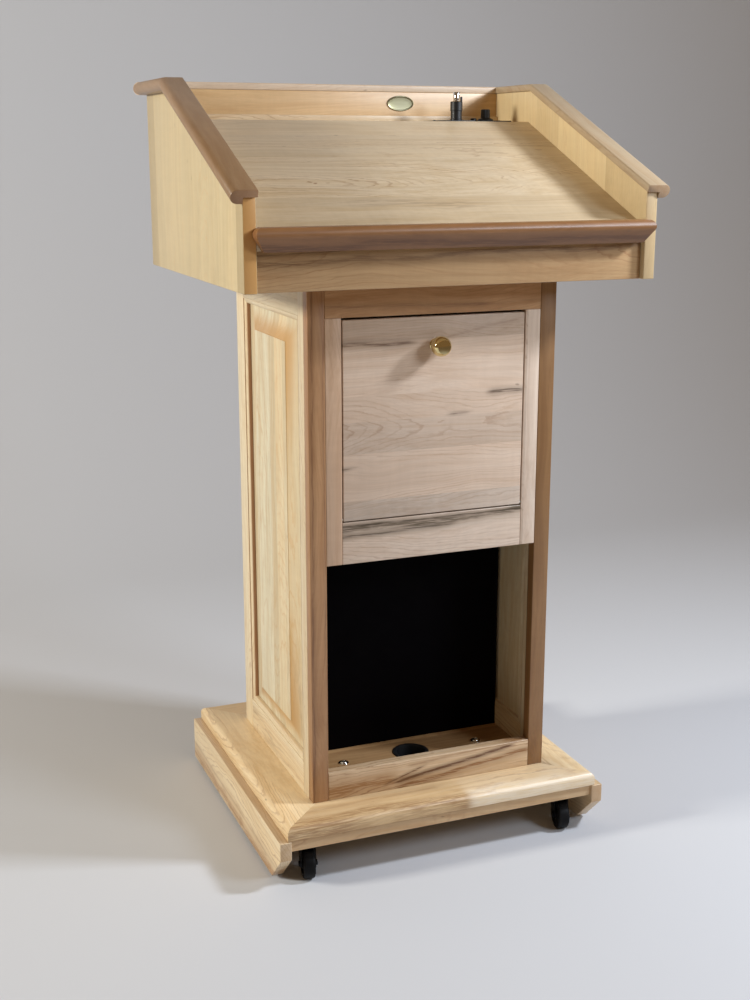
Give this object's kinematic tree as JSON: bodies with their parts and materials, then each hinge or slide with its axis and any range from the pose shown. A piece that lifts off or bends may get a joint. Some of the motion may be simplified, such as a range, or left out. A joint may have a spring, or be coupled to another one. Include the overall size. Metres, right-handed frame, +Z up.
{
  "type": "presentation lectern",
  "caption": "Wooden presentation lectern with sloping reading desk, drop-down flap, open lower compartment, microphone socket and casters.",
  "frame": {"origin": "on the floor under the middle of the lectern's bounding box", "axes": "+Z up; the presenter stands on the -Y side and the audience on the +Y side; +X is to the presenter's right"},
  "size_m": [0.684, 0.586, 1.2195],
  "materials": {
    "maple": "satin lacquer",
    "black_panel": "black lacquer",
    "brass": "polished",
    "badge_brass": "satin",
    "steel": "plated",
    "chrome": "polished",
    "caster_metal": "black",
    "wheel_rubber": "matte",
    "black_plastic": "satin",
    "black_plate": "satin black"
  },
  "bodies": {
    "lectern": {"left_cheek": "maple", "right_cheek": "maple", "left_cap": "maple", "right_cap": "maple", "rear_cap": "maple", "reading_surface": "maple", "apron": "maple", "book_stop": "maple", "equipment_shelf": "maple", "shelf_trim": "maple", "riser_board": "maple", "desk_back": "maple", "desk_bottom": "maple", "left_post": "maple", "right_post": "maple", "face_top_rail": "maple", "flap_stiles": "maple", "flap_rail": "maple", "storage_floor": "maple", "compartment_floor": "maple", "toe_board": "maple", "left_side_frame": "maple", "left_side_panel": "maple", "right_side_frame": "maple", "right_side_panel": "maple", "back_frame": "maple", "back_panel": "maple", "platform_front": "maple", "platform_rear": "maple", "platform_left": "maple", "platform_right": "maple", "base_deck": "maple", "left_runner": "maple", "right_runner": "maple", "divider_panel": "black_panel", "pivot_bushes": "brass", "flap_catch": "black_plastic", "floor_bolts": "chrome", "caster_plates": "caster_metal", "cable_grommet": "black_plastic", "control_plates": "black_plate", "microphone_socket": "black_plastic", "socket_shell": "chrome", "volume_control": "steel", "badge": "badge_brass"},
    "flap": {"flap_door": "maple", "flap_knob": "brass", "pivot_pins": "steel", "catch_plate": "steel"},
    "volume": {"volume_knob": "black_plastic", "volume_shaft": "steel"},
    "latch": {"socket_latch": "black_plastic"},
    "front_left_caster": {"front_left_fork": "caster_metal"},
    "front_left_roller": {"front_left_wheel": "wheel_rubber"},
    "front_right_caster": {"front_right_fork": "caster_metal"},
    "front_right_roller": {"front_right_wheel": "wheel_rubber"},
    "rear_left_caster": {"rear_left_fork": "caster_metal"},
    "rear_left_roller": {"rear_left_wheel": "wheel_rubber"},
    "rear_right_caster": {"rear_right_fork": "caster_metal"},
    "rear_right_roller": {"rear_right_wheel": "wheel_rubber"}
  },
  "joints": [
    {"name": "flap_hinge", "type": "hinge", "parent": "lectern", "child": "flap", "pos_m": [0, -0.182, 0.565], "axis": [1, 0, 0], "range_deg": [0, 90]},
    {"name": "volume_turn", "type": "hinge", "parent": "lectern", "child": "volume", "pos_m": [0.249, 0.167, 1.15906], "axis": [0, 0, 1], "range_deg": [-150, 150]},
    {"name": "latch_press", "type": "slide", "parent": "lectern", "child": "latch", "axis": [-1, 0, 0], "range_m": [0, 0.0014], "stiffness_N_per_m": 400, "springref_m": -0.0005},
    {"name": "front_left_swivel", "type": "hinge", "parent": "lectern", "child": "front_left_caster", "pos_m": [-0.225, -0.21, 0.056], "axis": [0, 0, 1], "continuous": true},
    {"name": "front_left_roll", "type": "hinge", "parent": "front_left_caster", "child": "front_left_roller", "pos_m": [-0.22708, -0.22182, 0.024], "axis": [0.9848, -0.1736, 0], "continuous": true},
    {"name": "front_right_swivel", "type": "hinge", "parent": "lectern", "child": "front_right_caster", "pos_m": [0.225, -0.21, 0.056], "axis": [0, 0, 1], "continuous": true},
    {"name": "front_right_roll", "type": "hinge", "parent": "front_right_caster", "child": "front_right_roller", "pos_m": [0.22292, -0.22182, 0.024], "axis": [0.9848, -0.1736, 0], "continuous": true},
    {"name": "rear_left_swivel", "type": "hinge", "parent": "lectern", "child": "rear_left_caster", "pos_m": [-0.225, 0.204, 0.056], "axis": [0, 0, 1], "continuous": true},
    {"name": "rear_left_roll", "type": "hinge", "parent": "rear_left_caster", "child": "rear_left_roller", "pos_m": [-0.22708, 0.19218, 0.024], "axis": [0.9848, -0.1736, 0], "continuous": true},
    {"name": "rear_right_swivel", "type": "hinge", "parent": "lectern", "child": "rear_right_caster", "pos_m": [0.225, 0.204, 0.056], "axis": [0, 0, 1], "continuous": true},
    {"name": "rear_right_roll", "type": "hinge", "parent": "rear_right_caster", "child": "rear_right_roller", "pos_m": [0.22292, 0.19218, 0.024], "axis": [0.9848, -0.1736, 0], "continuous": true}
  ]
}
